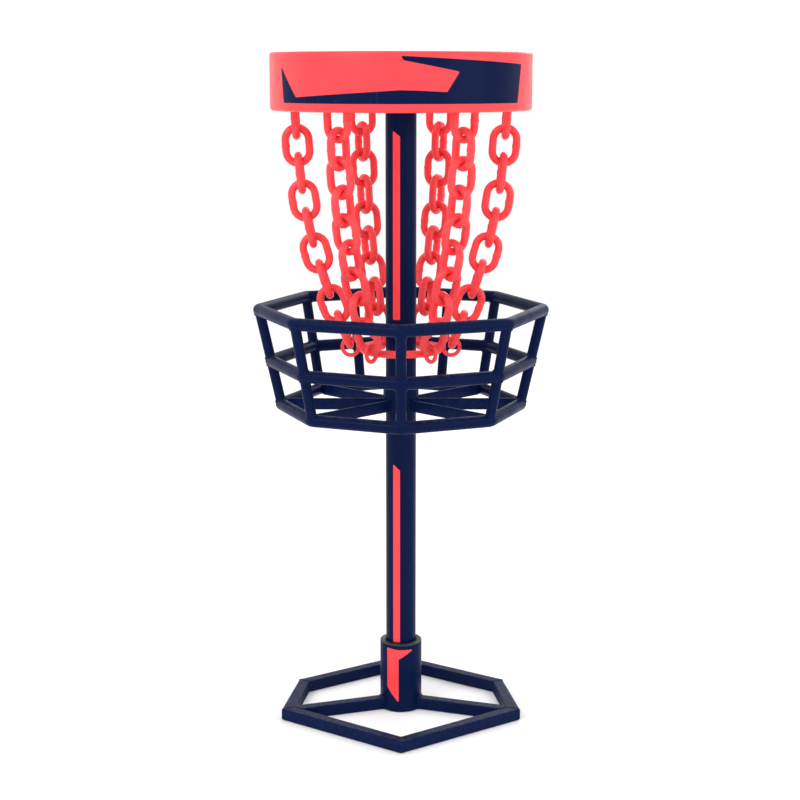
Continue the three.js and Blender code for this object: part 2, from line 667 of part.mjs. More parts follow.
function basket() {
  const cornerStrut = strut(1, 0);
  const sideStrut = strut(OCT, 22.5);
  const names = ["front", "front_right", "right", "rear_right", "rear", "rear_left", "left", "front_left"];
  const corners = STRUTS.map((azimuth, i) => {
    const place = strutLine(RIM_Z, 1);
    return station(`corner_${names[i]}`, azimuth, [part(`strut_${names[i]}`, cornerStrut, NAVY, place)]);
  });
  const sides = REAR_STRUTS.map((azimuth, i) => {
    const name = i === 0 ? "extra_right" : "extra_left";
    return station(`side_${name}`, azimuth, [part(`strut_${name}`, sideStrut, NAVY, strutLine(RIM_Z, OCT))]);
  });
  return assembly("basket", [
    part("basket_rim", hollowHoop(RIM_Z), NAVY, new THREE.Vector3(0, 0, RIM_Z)),
    part("basket_mid_hoop", midHoop(), NAVY, new THREE.Vector3(0, 0, MID_Z)),
    part("basket_bottom_hoop", hollowHoop(FLOOR_Z), NAVY, new THREE.Vector3(0, 0, FLOOR_Z)),
    part("basket_floor", spider(), NAVY, new THREE.Vector3(0, 0, FLOOR_Z)),
    part("floor_screw", clampScrew(FLOOR_SCREW_Z, COLLAR_OD / 2), STEEL),
    ...corners,
    ...sides,
  ]);
}

function top() {
  const arms = STRANDS.map(({ name, azimuth }) => {
    return station(`arm_station_${name}`, azimuth, [part(`arm_${name}`, arm(), CORAL)]);
  });
  const rodInset = BAND_ROD_D / 2 + ROD_INSET;
  return assembly("top", [
    part("top_hub", topHub(), CORAL, new THREE.Vector3(0, 0, ARM_BOTTOM_Z)),
    part("hub_screw", clampScrew(HUB_SCREW_Z, HUB_OD / 2), STEEL),
    ...arms,
    part("band", band(), CORAL, new THREE.Vector3(0, 0, BAND_BOTTOM_Z)),
    part("band_rod_top", bandRod(BAND_BOTTOM_Z + BAND_HEIGHT - rodInset), CORAL),
    part("band_rod_bottom", bandRod(BAND_BOTTOM_Z + rodInset), CORAL),
  ]);
}

const discGolfBasket = assembly("disc_golf_basket", [
  foot(),
  pole(),
  basket(),
  top(),
  assembly("chains", STRANDS.map(strand)),
  part("chain_ring", chainRing(), CORAL, new THREE.Vector3(0, 0, STRAND_END.z)),
]);

export default discGolfBasket;
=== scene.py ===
# Looks of the disc golf basket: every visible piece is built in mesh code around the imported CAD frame.
import json
import math
import random
import bmesh
import bpy
from mathutils import Matrix, Vector, geometry, noise


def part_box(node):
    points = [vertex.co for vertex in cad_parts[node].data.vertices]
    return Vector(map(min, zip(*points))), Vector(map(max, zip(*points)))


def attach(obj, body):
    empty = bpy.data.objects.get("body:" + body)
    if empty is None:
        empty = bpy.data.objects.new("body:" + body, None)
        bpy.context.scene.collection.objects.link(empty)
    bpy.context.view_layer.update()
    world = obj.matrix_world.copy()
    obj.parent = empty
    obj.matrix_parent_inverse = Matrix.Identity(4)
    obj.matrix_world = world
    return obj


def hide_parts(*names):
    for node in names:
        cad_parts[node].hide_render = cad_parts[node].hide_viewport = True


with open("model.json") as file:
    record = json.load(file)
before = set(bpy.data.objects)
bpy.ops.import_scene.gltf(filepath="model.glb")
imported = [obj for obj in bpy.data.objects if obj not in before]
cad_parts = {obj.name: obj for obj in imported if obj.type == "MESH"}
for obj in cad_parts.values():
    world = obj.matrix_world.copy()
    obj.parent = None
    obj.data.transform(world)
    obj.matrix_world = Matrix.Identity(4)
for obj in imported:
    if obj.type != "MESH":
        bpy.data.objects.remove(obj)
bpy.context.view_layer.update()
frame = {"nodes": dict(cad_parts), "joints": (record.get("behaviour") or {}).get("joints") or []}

TAU = 2 * math.pi
MM = 0.001
OCT = math.cos(math.pi / 8)
JOINTS = {joint["name"]: joint for joint in frame["joints"]}
random.seed(7)

# ---------- sizes, read from the frame where a node's box gives them ----------


def size(node, axis):
    low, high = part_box(node)
    return high[axis] - low[axis]


def span(node):
    low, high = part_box(node)
    return low.z, high.z


POLE_R = size("pole_lower", 0) / 2
POLE_WALL = 2.5 * MM
SLEEVE_R = size("base_sleeve", 0) / 2
BAND_R = size("band", 0) / 2
TUBE_OD = size("base_ring", 2)
TUBE_R = TUBE_OD / 2
STRUT_R = 10.65 * MM
COLLAR_R = 37 * MM
HUB_R = size("top_hub", 0) / 2
SLEEVE_WALL = 3 * MM
JOINER_WALL = 3 * MM
BAR_T = 6 * MM  # the basket's floor bars
PLATE_T = 5.8 * MM  # the arms and the ring's lugs
CHAIN_R = 217 * MM  # where the chains hang from the arms
ARM_HOLE_R = 13 * MM
WIRE_R = 8 * MM
LINK_LENGTH = 71.5 * MM  # crown to crown, wire centres
LINK_HALF_WIDTH = 24 * MM
LINKS = 9
LOOSE_AFTER = (0, 4)  # the links whose next one belongs to another body
RUN_STEP = 15.2 * MM  # neighbouring crowns in one run, wire centre to wire centre
LOOSE_STEP = 17.2 * MM  # the same where one body hangs from another
TOP_ANGLE = math.radians(3.5)
LUG_HOLE_R = 13.5 * MM
LUG_WEB = 8 * MM
SEAT_PLAY = 1.7 * MM
SCREW_Z = 76 * MM
FIT = 0.3 * MM  # clearance round the pole in the nylon bushes and inside its bore
BORE_R = POLE_R + 0.35 * MM  # bore of the steel collar and of the hub
TUBE_SKIN = 0.05 * MM  # round tubes stay this much inside their CAD solids


def hoop(node):
    """Corner radius and height of an octagonal hoop's centreline."""
    low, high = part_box(node)
    return -low.y - TUBE_R / OCT, (low.z + high.z) / 2


RIM = hoop("basket_rim")
MID = hoop("basket_mid_hoop")
BOTTOM = hoop("basket_bottom_hoop")

STRANDS = ("front_right", "right", "rear_right", "rear_left", "left", "front_left")


def strand_azimuth(strand):
    x, y, _ = JOINTS[f"{strand}_swing"]["pos_m"]
    return math.degrees(math.atan2(x, -y)) % 360


# ---------- small geometry tools ----------


def polar(radius, degrees, z=0.0):
    """A point at an azimuth counted from the front (-Y) towards +X."""
    turn = math.radians(degrees)
    return Vector((radius * math.sin(turn), -radius * math.cos(turn), z))


def outward(degrees):
    return polar(1, degrees)


def sideways(degrees):
    turn = math.radians(degrees)
    return Vector((math.cos(turn), math.sin(turn), 0))


UP = Vector((0, 0, 1))
BACK = Vector((0, 1, 0))
RIGHT = Vector((1, 0, 0))
CENTRE = Vector((0, 0, 0))


def millimetres(*points):
    """An outline whose points are given in millimetres."""
    return [(x * MM, y * MM) for x, y in points]


def new_object(name, bm, sharp_degrees=40, even_normals=False):
    """A mesh object with smooth shading, split where faces meet at more than that angle."""
    bmesh.ops.remove_doubles(bm, verts=bm.verts, dist=1e-7)
    bmesh.ops.recalc_face_normals(bm, faces=bm.faces)
    mesh = bpy.data.meshes.new(name)
    bm.to_mesh(mesh)
    bm.free()
    piece = bpy.data.objects.new(name, mesh)
    bpy.context.scene.collection.objects.link(piece)
    mesh.shade_smooth()
    mesh.set_sharp_from_angle(angle=math.radians(sharp_degrees))
    if even_normals:
        piece.modifiers.new("even_normals", "WEIGHTED_NORMAL").keep_sharp = True
    return piece


def settle(piece, material, body, slot, *replaced):
    """Gives a piece its material, its body and the CAD nodes it stands for. The slot argument is not
    used.
    """
    piece.data.materials.append(material)
    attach(piece, body)
    if replaced:
        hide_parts(*replaced)


def skin(bm, loops, closed_along):
    """Faces between successive closed loops of vertices, with both ends capped if it is open."""
    count = len(loops)
    sides = len(loops[0])
    for i in range(count if closed_along else count - 1):
        here, there = loops[i], loops[(i + 1) % count]
        for k in range(sides):
            n = (k + 1) % sides
            bm.faces.new((here[k], here[n], there[n], there[k]))
    if not closed_along:
        bm.faces.new(list(reversed(loops[0])))
        bm.faces.new(loops[-1])


def tangents_of(path, closed):
    count = len(path)
    found = []
    for i in range(count):
        before = path[(i - 1) % count] if closed or i > 0 else path[i]
        after = path[(i + 1) % count] if closed or i < count - 1 else path[i]
        found.append((after - before).normalized())
    return found


def tube(bm, path, radius, closed=False, sides=20):
    """A round tube along a path; radius is a number or a function of the point's index."""
    count = len(path)
    width = radius if callable(radius) else (lambda i: radius)
    tangents = tangents_of(path, closed)
    seed = UP if abs(tangents[0].z) < 0.9 else RIGHT
    normals = [(seed - tangents[0] * seed.dot(tangents[0])).normalized()]
    for tangent in tangents[1:]:
        normals.append((normals[-1] - tangent * normals[-1].dot(tangent)).normalized())
    twist = 0.0
    if closed:
        end = normals[-1] - tangents[0] * normals[-1].dot(tangents[0])
        twist = math.atan2(tangents[0].dot(end.cross(normals[0])), end.dot(normals[0]))
    loops = []
    for i in range(count):
        turned = Matrix.Rotation(twist * i / count, 3, tangents[i]) @ normals[i]
        across = tangents[i].cross(turned)
        turns = [TAU * k / sides for k in range(sides)]
        ways = [turned * math.cos(a) + across * math.sin(a) for a in turns]
        loops.append([bm.verts.new(path[i] + way * width(i)) for way in ways])
    skin(bm, loops, closed)


def lathe(bm, profile, segments):
    """A closed outline of (radius, height) turned round the pole's axis."""
    u = UP.orthogonal().normalized()
    v = UP.cross(u)
    loops = []
    for i in range(segments):
        turn = TAU * i / segments
        way = u * math.cos(turn) + v * math.sin(turn)
        loops.append([bm.verts.new(way * r + UP * z) for r, z in profile])
    skin(bm, loops, closed_along=True)


def turned_solid(bm, profile, segments, axis=UP, origin=CENTRE):
    """A solid of revolution from an open outline that starts and ends on the axis."""
    u = axis.orthogonal().normalized()
    v = axis.cross(u)
    turns = [TAU * i / segments for i in range(segments)]
    ways = [u * math.cos(a) + v * math.sin(a) for a in turns]
    loops = [[bm.verts.new(origin + way * r + axis * z) for way in ways] for r, z in profile[1:-1]]
    skin(bm, loops, closed_along=False)


def arc(centre_r, centre_z, radius, start, end, steps=6):
    """Points of an arc in a lathe outline, angles in degrees from outward, counted upwards."""
    points = []
    for k in range(steps + 1):
        a = math.radians(start + (end - start) * k / steps)
        points.append((centre_r + radius * math.cos(a), centre_z + radius * math.sin(a)))
    return points


def ring_outline(outer, inner, low, high, edge):
    """A wall section with its four edges rounded."""
    edge = min(edge, (outer - inner) / 2.2)
    outline = arc(outer - edge, low + edge, edge, -90, 0, 4)
    outline += arc(outer - edge, high - edge, edge, 0, 90, 4)
    outline += arc(inner + edge, high - edge, edge, 90, 180, 4)
    outline += arc(inner + edge, low + edge, edge, 180, 270, 4)
    return outline


def rounded(corners, radius, steps=5):
    """A closed flat outline with each corner turned into an arc."""
    outline = []
    count = len(corners)
    for i in range(count):
        here = Vector(corners[i])
        to_before = Vector(corners[i - 1]) - here
        to_after = Vector(corners[(i + 1) % count]) - here
        a, b = to_before.normalized(), to_after.normalized()
        half = a.angle(b) / 2
        reach = min(radius / math.tan(half), to_before.length / 2.01, to_after.length / 2.01)
        bend = reach * math.tan(half)
        middle = here + (a + b).normalized() * (bend / math.sin(half))
        start, end = here + a * reach - middle, here + b * reach - middle
        sweep = math.pi - 2 * half
        for k in range(steps + 1):
            t = k / steps
            mixed = (start * math.sin((1 - t) * sweep) + end * math.sin(t * sweep)) / math.sin(sweep)
            outline.append(middle + mixed)
    return outline


def prism(bm, outline, start, end, u, v, edge=0.0, steps=3):
    """A compact flat outline in the u, v directions pushed from start to end, with rounded end edges."""
    way = (end - start).normalized()
    length = (end - start).length
    centre = sum((Vector(p) for p in outline), Vector((0, 0))) / len(outline)
    rows = [(0.0, 0.0)]
    if edge:
        turns = [math.pi / 2 * k / steps for k in range(steps + 1)]
        rows = [(edge * (1 - math.cos(a)), edge * (1 - math.sin(a))) for a in turns]
    loops = []
    for depth, shrink in rows + [(length - d, s) for d, s in reversed(rows)]:
        loop = []
        for p in outline:
            offset = Vector(p) - centre
            q = centre + offset * (1 - shrink / max(offset.length, 1e-9))
            loop.append(bm.verts.new(start + way * depth + u * q.x + v * q.y))
        loops.append(loop)
    skin(bm, loops, closed_along=False)


def circle(radius, sides=40, centre=(0, 0)):
    turns = [TAU * k / sides for k in range(sides)]
    return [(centre[0] + radius * math.cos(a), centre[1] + radius * math.sin(a)) for a in turns]


def plate(bm, outer, holes, origin, u, v, thickness, edge):
    """A flat plate with holes, centred on its plane, with rounded edges."""
    normal = u.cross(v)
    part = bmesh.new()
    edges = []
    for loop in (outer, *holes):
        verts = [part.verts.new(origin + u * p[0] + v * p[1] - normal * (thickness / 2)) for p in loop]
        edges += [part.edges.new((verts[i - 1], verts[i])) for i in range(len(verts))]
    bmesh.ops.triangle_fill(part, use_beauty=True, edges=edges)
    raised = bmesh.ops.extrude_face_region(part, geom=part.faces[:])
    moved = [item for item in raised["geom"] if isinstance(item, bmesh.types.BMVert)]
    bmesh.ops.translate(part, verts=moved, vec=normal * thickness)
    bmesh.ops.recalc_face_normals(part, faces=part.faces)
    soften(part, edge)
    join(bm, part)


def soften(bm, edge, degrees=50, segments=2):
    """Bevels every edge sharper than that angle."""
    limit = math.radians(degrees)
    sharp = [e for e in bm.edges if len(e.link_faces) == 2 and e.calc_face_angle() > limit]
    bmesh.ops.bevel(bm, geom=sharp, offset=edge, segments=segments, profile=0.5, affect="EDGES")


def join(bm, part):
    """Adds one bmesh to another and frees it."""
    held = bpy.data.meshes.new("held")
    part.to_mesh(held)
    part.free()
    bm.from_mesh(held)
    bpy.data.meshes.remove(held)


def slab(bm, centre, along, across, length, width, thickness, edge):
    """A bar with rounded edges; width is measured across, thickness square to both."""
    part = bmesh.new()
    bmesh.ops.create_cube(part, size=1)
    normal = along.cross(across)
    frame_of = Matrix((along * length, across * width, normal * thickness)).transposed().to_4x4()
    bmesh.ops.transform(part, matrix=Matrix.Translation(centre) @ frame_of, verts=part.verts)
    bmesh.ops.recalc_face_normals(part, faces=part.faces)
    soften(part, edge, segments=3)
    join(bm, part)


def spaced(path, gap, closed):
    """Points a constant distance apart along a polyline."""
    ends = path + [path[0]] if closed else path
    lengths = [(ends[i + 1] - ends[i]).length for i in range(len(ends) - 1)]
    total = sum(lengths)
    count = max(8, round(total / gap))
    points = []
    piece, walked = 0, 0.0
    for i in range(count if closed else count + 1):
        goal = total * i / count
        while piece < len(lengths) - 1 and walked + lengths[piece] < goal:
            walked += lengths[piece]
            piece += 1
        share = (goal - walked) / max(lengths[piece], 1e-9)
        points.append(ends[piece].lerp(ends[piece + 1], min(1.0, share)))
    return points


def bead(bm, path, width, closed=True):
    """A weld bead: a rope of overlapping ripples, a little uneven."""
    step, ripple_length = 1.2, 3.4
    points = spaced(path, step * MM, closed)
    phase = random.random() * TAU
    ripple = [math.sin(i * step / ripple_length * TAU + phase) for i in range(len(points))]
    swell = [noise.noise(p * 60) for p in points]
    tube(bm, points, lambda i: width * (1 + 0.10 * ripple[i] + 0.22 * swell[i]), closed, sides=8)


def film(bm, outline, radius, depth, step=3 * MM):
    """A thin film round the pole's axis; its outline is in degrees from the front and heights."""
    flat = [(math.radians(d) * radius, z) for d, z in outline]
    soft = rounded(flat, 1.5 * MM, 2)
    part = bmesh.new()
    verts = [part.verts.new((p.x, 0, p.y)) for p in soft]
    for triangle in geometry.tessellate_polygon([[p.to_3d() for p in soft]]):
        part.faces.new([verts[i] for i in triangle])
    low, high = min(x for x, _ in flat), max(x for x, _ in flat)
    edge = math.ceil(low / step) * step
    while edge < high:
        everything = part.verts[:] + part.edges[:] + part.faces[:]
        bmesh.ops.bisect_plane(part, geom=everything, plane_co=RIGHT * edge, plane_no=RIGHT, dist=1e-7)
        edge += step
    raised = bmesh.ops.extrude_face_region(part, geom=part.faces[:])
    for item in raised["geom"]:
        if isinstance(item, bmesh.types.BMVert):
            item.co.y = depth
    for vert in part.verts:
        vert.co = polar(radius + vert.co.y, math.degrees(vert.co.x / radius), vert.co.z)
    join(bm, part)


# ---------- materials ----------


class Nodes:
    """A short way to write a shader's nodes and links."""

    def __init__(self, name):
        self.material = bpy.data.materials.new(name)
        self.material.use_nodes = True
        self.tree = self.material.node_tree
        self.shader = self.tree.nodes["Principled BSDF"]
        self.place = self.tree.nodes.new("ShaderNodeTexCoord").outputs["Object"]

    def link(self, out, into):
        self.tree.links.new(out, into)

    def feed(self, value, socket):
        """Sets a socket to a number or a colour, or links another node's output to it."""
        if isinstance(value, (int, float)):
            socket.default_value = value
        elif isinstance(value, tuple):
            socket.default_value = (*value, 1)
        else:
            self.link(value, socket)

    def noise(self, scale, detail=3.0, roughness=0.5, stretch=None):
        node = self.tree.nodes.new("ShaderNodeTexNoise")
        node.inputs["Scale"].default_value = scale
        node.inputs["Detail"].default_value = detail
        node.inputs["Roughness"].default_value = roughness
        place = self.place
        if stretch:
            mapping = self.tree.nodes.new("ShaderNodeMapping")
            mapping.inputs["Scale"].default_value = stretch
            self.link(place, mapping.inputs["Vector"])
            place = mapping.outputs["Vector"]
        self.link(place, node.inputs["Vector"])
        return node.outputs["Fac"]

    def attribute(self, name):
        node = self.tree.nodes.new("ShaderNodeAttribute")
        node.attribute_name = name
        return node.outputs["Fac"]

    def facing_up(self):
        split = self.tree.nodes.new("ShaderNodeSeparateXYZ")
        self.link(self.tree.nodes.new("ShaderNodeNewGeometry").outputs["Normal"], split.inputs[0])
        return split.outputs["Z"]

    def edges(self):
        return self.tree.nodes.new("ShaderNodeNewGeometry").outputs["Pointiness"]

    def ramp(self, value, low, high, out_low=0.0, out_high=1.0):
        node = self.tree.nodes.new("ShaderNodeMapRange")
        node.inputs["From Min"].default_value = low
        node.inputs["From Max"].default_value = high
        node.inputs["To Min"].default_value = out_low
        node.inputs["To Max"].default_value = out_high
        self.link(value, node.inputs["Value"])
        return node.outputs["Result"]

    def math(self, operation, a, b):
        node = self.tree.nodes.new("ShaderNodeMath")
        node.operation = operation
        self.feed(a, node.inputs[0])
        self.feed(b, node.inputs[1])
        return node.outputs["Value"]

    def mix(self, factor, a, b):
        node = self.tree.nodes.new("ShaderNodeMix")
        node.data_type = "RGBA"
        self.link(factor, node.inputs["Factor"])
        self.feed(a, node.inputs[6])
        self.feed(b, node.inputs[7])
        return node.outputs[2]

    def bump(self, *layers):
        """Stacks layers of bump, each a (height, distance, strength)."""
        previous = None
        for value, distance, strength in layers:
            node = self.tree.nodes.new("ShaderNodeBump")
            node.inputs["Distance"].default_value = distance
            node.inputs["Strength"].default_value = strength
            self.link(value, node.inputs["Height"])
            if previous is not None:
                self.link(previous, node.inputs["Normal"])
            previous = node.outputs["Normal"]
        self.link(previous, self.shader.inputs["Normal"])

    def set(self, **values):
        for name, value in values.items():
            self.feed(value, self.shader.inputs[name.replace("_", " ")])
        return self.material


def powder_coat(name, colour, deep, bright, specular, coat):
    """Satin powder coat on steel: orange peel, soft mottling, settled dust, convex edges lightened partly
    as rubbed wear and partly as a painted edge highlight, and bare metal where links rub on each other."""
    n = Nodes(name)
    mottle = n.ramp(n.noise(11, 4, 0.55), 0.35, 0.7, 0, 0.45)
    tone = n.mix(mottle, colour, deep)
    grime = n.ramp(n.noise(70, 6, 0.65), 0.58, 0.8, 0, 0.35)
    tone = n.mix(grime, tone, deep)
    tone = n.mix(n.ramp(n.noise(900, 2, 0.5), 0.55, 0.75, 0, 0.16), tone, bright)
    patches = n.ramp(n.noise(160, 5, 0.65), 0.42, 0.62)
    # convex edges lightened towards the bright coat colour: partly rubbed wear, partly painted edge
    # highlight
    rubbed_and_highlit_edges = n.math("MULTIPLY", n.ramp(n.edges(), 0.515, 0.56), patches)
    tone = n.mix(n.math("MULTIPLY", rubbed_and_highlit_edges, 0.45), tone, bright)
    settled = n.ramp(n.noise(75, 6, 0.7), 0.45, 0.8, 0, 0.10)
    dust = n.math("MULTIPLY", n.ramp(n.facing_up(), 0.55, 1.0), settled)
    tone = n.mix(dust, tone, DUST)
    ragged = n.math("MULTIPLY", n.math("SUBTRACT", n.noise(380, 5, 0.7), 0.5), 0.8)
    bare = n.ramp(n.math("ADD", n.attribute("wear"), ragged), 0.60, 0.68)
    tone = n.mix(bare, tone, WORN_STEEL)
    satin = n.ramp(n.noise(32, 5, 0.6), 0.3, 0.75, 0.30, 0.46)
    dusty = n.math("ADD", satin, n.math("MULTIPLY", dust, 0.8))
    rough = n.math("SUBTRACT", dusty, n.math("MULTIPLY", rubbed_and_highlit_edges, 0.06))
    n.bump((n.noise(620, 2, 0.4), 0.00030, 0.40), (n.noise(2300, 1, 0.3), 0.00008, 0.30))
    metal = n.math("MULTIPLY", bare, 0.85)
    return n.set(Base_Color=tone, Roughness=rough, Metallic=metal, Specular_IOR_Level=specular,
                 Coat_Weight=coat, Coat_Roughness=0.22)


def painted_light_film(name, colour, deep, specular, coat):
    """Film for painted shade and painted highlights, made like cut vinyl: smoother than the coat below
    it, with faint pulls and scuffs.
    """
    n = Nodes(name)
    tone = n.mix(n.ramp(n.noise(16, 4), 0.4, 0.75, 0, 0.35), colour, deep)
    scuffs = n.noise(90, 6, 0.7, stretch=(1, 1, 0.1))
    tone = n.mix(n.ramp(scuffs, 0.62, 0.78, 0, 0.10), tone, DUST)
    n.bump((n.noise(240, 2, 0.4), 0.00015, 0.22), (scuffs, 0.00004, 0.3))
    return n.set(Base_Color=tone, Roughness=n.ramp(scuffs, 0.35, 0.75, 0.24, 0.42),
                 Specular_IOR_Level=specular, Coat_Weight=coat, Coat_Roughness=0.1)


def zinc_steel(name):
    """Zinc plating with its faint yellow bloom, fine turning marks and darker handling marks."""
    n = Nodes(name)
    tone = n.mix(n.ramp(n.noise(120, 5, 0.6), 0.3, 0.75), (0.42, 0.43, 0.46), (0.66, 0.66, 0.65))
    tone = n.mix(n.ramp(n.noise(38, 4), 0.55, 0.8, 0, 0.45), tone, (0.55, 0.49, 0.33))
    tone = n.mix(n.ramp(n.noise(260, 6, 0.7), 0.6, 0.75, 0, 0.5), tone, (0.16, 0.15, 0.14))
    turned = n.noise(500, 3, 0.5, stretch=(0.1, 1, 0.1))
    n.bump((turned, 0.00008, 0.35))
    return n.set(Base_Color=tone, Metallic=1.0, Roughness=n.ramp(n.noise(210, 4), 0.3, 0.8, 0.22, 0.42))


def nylon(name):
    """Black moulded nylon with a fine spark-eroded texture, greyed on its edges."""
    n = Nodes(name)
    tone = n.mix(n.ramp(n.noise(60, 4), 0.35, 0.75), (0.010, 0.011, 0.014), (0.024, 0.026, 0.031))
    worn = n.math("MULTIPLY", n.ramp(n.edges(), 0.52, 0.57), n.ramp(n.noise(200, 4), 0.45, 0.6, 0, 0.4))
    tone = n.mix(worn, tone, (0.10, 0.10, 0.11))
    n.bump((n.noise(1500, 2, 0.5), 0.00012, 0.5))
    return n.set(Base_Color=tone, Roughness=n.ramp(n.noise(90, 4), 0.3, 0.8, 0.42, 0.62))


def pale_floor(name):
    n = Nodes(name)
    tone = n.mix(n.ramp(n.noise(1.3, 3), 0.3, 0.75), (0.985, 0.985, 0.985), (0.975, 0.975, 0.976))
    return n.set(Base_Color=tone, Roughness=0.9, Specular_IOR_Level=0.1)


DUST = (0.46, 0.43, 0.40)
WORN_STEEL = (0.42, 0.41, 0.40)
CORAL = ((0.93, 0.052, 0.062), (0.80, 0.036, 0.046), (1.0, 0.10, 0.11))
NAVY = ((0.0008, 0.0070, 0.046), (0.0006, 0.0048, 0.032), (0.008, 0.022, 0.085))

coral = powder_coat("coral_powder_coat", *CORAL, specular=0.30, coat=0.10)
navy = powder_coat("navy_powder_coat", *NAVY, specular=0.05, coat=0.02)
# navy film used only as painted shade on the band
navy_painted_shade_film = painted_light_film("navy_painted_shade_film", NAVY[0], NAVY[1], specular=0.06, coat=0.02)
# coral film used only as painted highlights on the pole and the sleeve
coral_painted_highlight_film = painted_light_film("coral_painted_highlight_film", CORAL[0], CORAL[1], specular=0.30, coat=0.12)
steel = zinc_steel("zinc_plated_steel")
plastic = nylon("black_nylon_moulding")

# ---------- chains ----------


def hang(end_angle):
    """Each link's upper and lower crown, as (radius, height), and its angle from plumb."""
    start = Vector(JOINTS["right_swing"]["pos_m"])
    point = Vector((start.xy.length, start.z))
    links = []

    def way(a):
        return Vector((-math.sin(a), -math.cos(a)))

    def angle(k):
        t = k / (LINKS - 1)
        return TOP_ANGLE + (end_angle - TOP_ANGLE) * t * t * (3 - 2 * t)

    for k in range(LINKS):
        end = point + way(angle(k)) * LINK_LENGTH
        links.append((point, end, angle(k)))
        step = LOOSE_STEP if k in LOOSE_AFTER else RUN_STEP
        point = end - way((angle(k) + angle(min(k + 1, LINKS - 1))) / 2) * step
    return links


def hang_through_pivot():
    """The strand whose fifth link ends at the lower fold's pivot."""
    pivot = Vector(JOINTS["right_lower_fold"]["pos_m"]).xy.length
    low, high = TOP_ANGLE, math.radians(85)
    for _ in range(60):
        middle = (low + high) / 2
        if hang(middle)[LOOSE_AFTER[1]][1].x > pivot:
            low = middle
        else:
            high = middle
    return hang((low + high) / 2)


HANGING = hang_through_pivot()


def link_samples():
    """Round the wire's centreline: place across, place along, outward direction and weld swelling."""
    leg = LINK_LENGTH / 2 - LINK_HALF_WIDTH
    arc_steps, leg_steps = 16, 10
    samples = []
    for side in (1, -1):
        for i in range(arc_steps):
            a = math.pi * i / arc_steps
            out = Vector((math.cos(a), math.sin(a))) * side
            samples.append((out.x * LINK_HALF_WIDTH, out.y * LINK_HALF_WIDTH + side * leg, out, 0.0))
        for i in range(leg_steps):
            y = side * leg * (1 - 2 * i / leg_steps)
            weld = math.exp(-((y / (3.2 * MM)) ** 2)) if side < 0 else 0.0
            samples.append((-side * LINK_HALF_WIDTH, y, Vector((-side, 0)), weld))
    return samples


LINK_SAMPLES = link_samples()


def link(bm, k, degrees):
    """One link: smooth wire, a weld swelling on one leg, the coat rubbed through in its crowns."""
    top, end, angle = HANGING[k]
    middle = polar((top.x + end.x) / 2, degrees, (top.y + end.y) / 2)
    along = outward(degrees) * math.sin(angle) + UP * math.cos(angle)
    radial = outward(degrees) * math.cos(angle) - UP * math.sin(angle)
    across = sideways(degrees) if k % 2 == 0 else radial
    plane = along.cross(across)
    leg = LINK_LENGTH / 2 - LINK_HALF_WIDTH
    sides = 20
    worn = bm.verts.layers.float.new("wear")
    loops = []
    for x, y, out, weld in LINK_SAMPLES:
        centre = middle + across * x + along * y
        spread = across * out.x + along * out.y
        radius = WIRE_R * (0.985 + 0.11 * weld)
        crown = max(0.0, abs(y) - leg) / LINK_HALF_WIDTH
        loop = []
        for s in range(sides):
            turn = TAU * s / sides
            vert = bm.verts.new(centre + (spread * math.cos(turn) + plane * math.sin(turn)) * radius)
            vert[worn] = crown ** 4 * max(0.0, -math.cos(turn)) ** 2
            loop.append(vert)
        loops.append(loop)
    skin(bm, loops, closed_along=True)


def chains():
    hook_end, upper_end = LOOSE_AFTER
    runs = {
        "hook_link": ("hook", 0, hook_end),
        "upper_run": ("upper", hook_end + 1, upper_end),
        "lower_run": ("lower", upper_end + 1, LINKS - 1),
    }
    for strand in STRANDS:
        for node, (body, first, last) in runs.items():
            for k in range(first, last + 1):
                bm = bmesh.new()
                link(bm, k, strand_azimuth(strand))
                piece = new_object(f"{strand}_link_{k + 1}", bm, 80)
                replaced = [f"{strand}_{node}"] if k == first else []
                settle(piece, coral, f"{strand}_{body}", "coral_coat", *replaced)


LUG_BURY = 4 * MM  # how far a lug's round reaches into the ring's rod
ROD_DROP = 4 * MM  # how far the rod lies below the lugs' holes


def chain_ring():
    """The ring at the foot of the chains, with a welded lug for each strand."""
    drop = LUG_HOLE_R - WIRE_R - SEAT_PLAY
    end, angle = HANGING[-1][1], HANGING[-1][2]
    hole = Vector((end.x - drop * math.sin(angle), end.y - drop * math.cos(angle)))
    eye = LUG_HOLE_R + LUG_WEB
    rod = Vector((hole.x - eye - WIRE_R + LUG_BURY, hole.y - ROD_DROP))
    eyehole = circle(LUG_HOLE_R, 36, (hole.x, hole.y))
    bm = bmesh.new()
    lathe(bm, [(rod.x + x, rod.y + y) for x, y in circle(WIRE_R, 20)], 120)
    seam = polar(rod.x, 0, rod.y)
    bead(bm, [seam + outward(0) * x * 1.02 + UP * y * 1.02 for x, y in circle(WIRE_R, 24)], 1.3 * MM)
    for strand in STRANDS:
        degrees = strand_azimuth(strand)
        out = outward(degrees)
        lug = circle(eye, 48, (hole.x, hole.y))
        plate(bm, lug, [eyehole], CENTRE, out, UP, PLATE_T, 1.1 * MM)
        neck = polar(rod.x + 7 * MM, degrees, rod.y + 2 * MM)
        slab(bm, neck, out, UP, 15 * MM, 17 * MM, PLATE_T - 0.4 * MM, 0.8 * MM)
        for side in (1, -1):
            offset = sideways(degrees) * side * 3.2 * MM
            seam = [polar(rod.x + WIRE_R * math.cos(a), degrees, rod.y + WIRE_R * math.sin(a)) + offset
                    for a in (math.radians(-50 + 10 * i) for i in range(13))]
            bead(bm, seam, 2.2 * MM, closed=False)
    settle(new_object("chain_ring_with_lugs", bm, 55, True), coral, "ring", "coral_coat", "chain_ring")


# ---------- top: band, rods, hub and arms ----------

BAND_LOW, BAND_HIGH = span("band")
ROD_R = 4.4 * MM
HEM_R = 6 * MM
SHEET_T = 1.5 * MM
BAND_FACE = BAND_R - 0.45 * MM  # the sheet's outside; the film on it comes up to the CAD's size
ARM_LOW, ARM_HIGH = span("arm_right")


